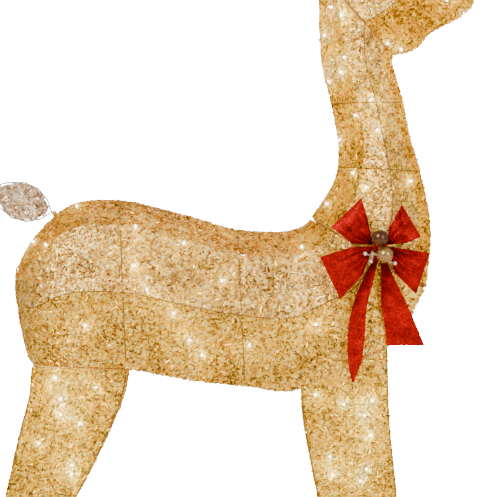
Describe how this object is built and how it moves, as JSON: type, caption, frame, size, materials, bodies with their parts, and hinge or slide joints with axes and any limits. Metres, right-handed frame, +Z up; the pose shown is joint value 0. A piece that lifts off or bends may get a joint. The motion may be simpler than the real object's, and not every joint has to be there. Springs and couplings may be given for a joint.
{
  "type": "light up yard reindeer",
  "caption": "Standing yard reindeer of welded wire sections wrapped in glitter mesh, lit from inside, with plug-in neck, legs and antlers and a ribbon bow at the chest.",
  "frame": {"origin": "on the ground at the middle of the part's box", "axes": "+X towards the nose, +Y towards the animal's left, +Z up"},
  "size_m": [0.7906, 0.324, 1.5202],
  "materials": {
    "gold_fabric": "dense orange-gold glitter tinsel mesh",
    "champagne_fabric": "beige and champagne glitter tinsel mesh",
    "leg_fabric": "yellow-gold glitter tinsel mesh, brightly lit from inside",
    "frame_wire": "gold powder-coated steel wire",
    "silver_wire": "bright bare wire",
    "light_string": "clear wire with warm white bulbs",
    "red_ribbon": "red glitter velvet ribbon",
    "bronze_ball": "bronze metallic lacquer",
    "champagne_ball": "champagne-gold metallic lacquer",
    "moulded_plastic": "moulded plastic, fine matt texture"
  },
  "bodies": {
    "torso": {"torso_frame": "frame_wire", "torso_cover_back": "gold_fabric", "torso_cover_right": "champagne_fabric", "torso_cover_left": "champagne_fabric", "torso_cover_belly": "champagne_fabric", "torso_cover_rump": "gold_fabric", "torso_light_string": "light_string", "power_inlet": "moulded_plastic", "power_inlet_clip": "moulded_plastic"},
    "neck_and_head": {"neck_frame": "frame_wire", "neck_cover_rear": "gold_fabric", "neck_cover_right": "champagne_fabric", "neck_cover_left": "champagne_fabric", "neck_cover_front": "gold_fabric", "neck_light_string": "light_string", "head_frame": "frame_wire", "head_cover_face": "champagne_fabric", "head_cover_jaw": "gold_fabric", "head_cover_nose": "champagne_fabric", "head_light_string": "light_string", "ear_left_frame": "silver_wire", "ear_left_cover": "champagne_fabric", "ear_right_frame": "silver_wire", "ear_right_cover": "champagne_fabric", "bow_loop_upper_rear": "red_ribbon", "bow_loop_upper_front": "red_ribbon", "bow_loop_lower_rear": "red_ribbon", "bow_loop_lower_front": "red_ribbon", "bow_tail_rear": "red_ribbon", "bow_tail_front": "red_ribbon", "bow_knot": "red_ribbon", "bow_tie_wire": "silver_wire", "bow_berry_bronze": "bronze_ball", "bow_berry_champagne": "champagne_ball", "bow_bead_twig": "silver_wire"},
    "tail": {"tail_frame": "silver_wire", "tail_cover": "champagne_fabric"},
    "antler_left": {"antler_left_frame": "frame_wire", "antler_left_cover": "gold_fabric"},
    "antler_right": {"antler_right_frame": "frame_wire", "antler_right_cover": "gold_fabric"},
    "leg_hind_left": {"leg_hind_left_frame": "frame_wire", "leg_hind_left_cover": "leg_fabric", "leg_hind_left_light_string": "light_string", "leg_hind_left_foot": "moulded_plastic"},
    "leg_hind_right": {"leg_hind_right_frame": "frame_wire", "leg_hind_right_cover": "leg_fabric", "leg_hind_right_light_string": "light_string", "leg_hind_right_foot": "moulded_plastic"},
    "leg_front_left": {"leg_front_left_frame": "frame_wire", "leg_front_left_cover": "leg_fabric", "leg_front_left_light_string": "light_string", "leg_front_left_foot": "moulded_plastic"},
    "leg_front_right": {"leg_front_right_frame": "frame_wire", "leg_front_right_cover": "leg_fabric", "leg_front_right_light_string": "light_string", "leg_front_right_foot": "moulded_plastic"}
  },
  "joints": [
    {"name": "neck_lift", "type": "slide", "parent": "torso", "child": "neck_and_head", "axis": [0, 0, 1], "range_m": [0, 0.08]},
    {"name": "leg_hind_left_pull_off", "type": "slide", "parent": "torso", "child": "leg_hind_left", "axis": [0, 0, -1], "range_m": [0, 0.08]},
    {"name": "leg_hind_right_pull_off", "type": "slide", "parent": "torso", "child": "leg_hind_right", "axis": [0, 0, -1], "range_m": [0, 0.08]},
    {"name": "leg_front_left_pull_off", "type": "slide", "parent": "torso", "child": "leg_front_left", "axis": [0, 0, -1], "range_m": [0, 0.08]},
    {"name": "leg_front_right_pull_off", "type": "slide", "parent": "torso", "child": "leg_front_right", "axis": [0, 0, -1], "range_m": [0, 0.08]},
    {"name": "antler_left_lift", "type": "slide", "parent": "neck_and_head", "child": "antler_left", "axis": [0, 0, 1], "range_m": [0, 0.05]},
    {"name": "antler_right_lift", "type": "slide", "parent": "neck_and_head", "child": "antler_right", "axis": [0, 0, 1], "range_m": [0, 0.05]},
    {"name": "tail_swing", "type": "hinge", "parent": "torso", "child": "tail", "pos_m": [-0.28336, 0, 0.741], "axis": [0, 1, 0], "range_deg": [-10, 35]}
  ]
}
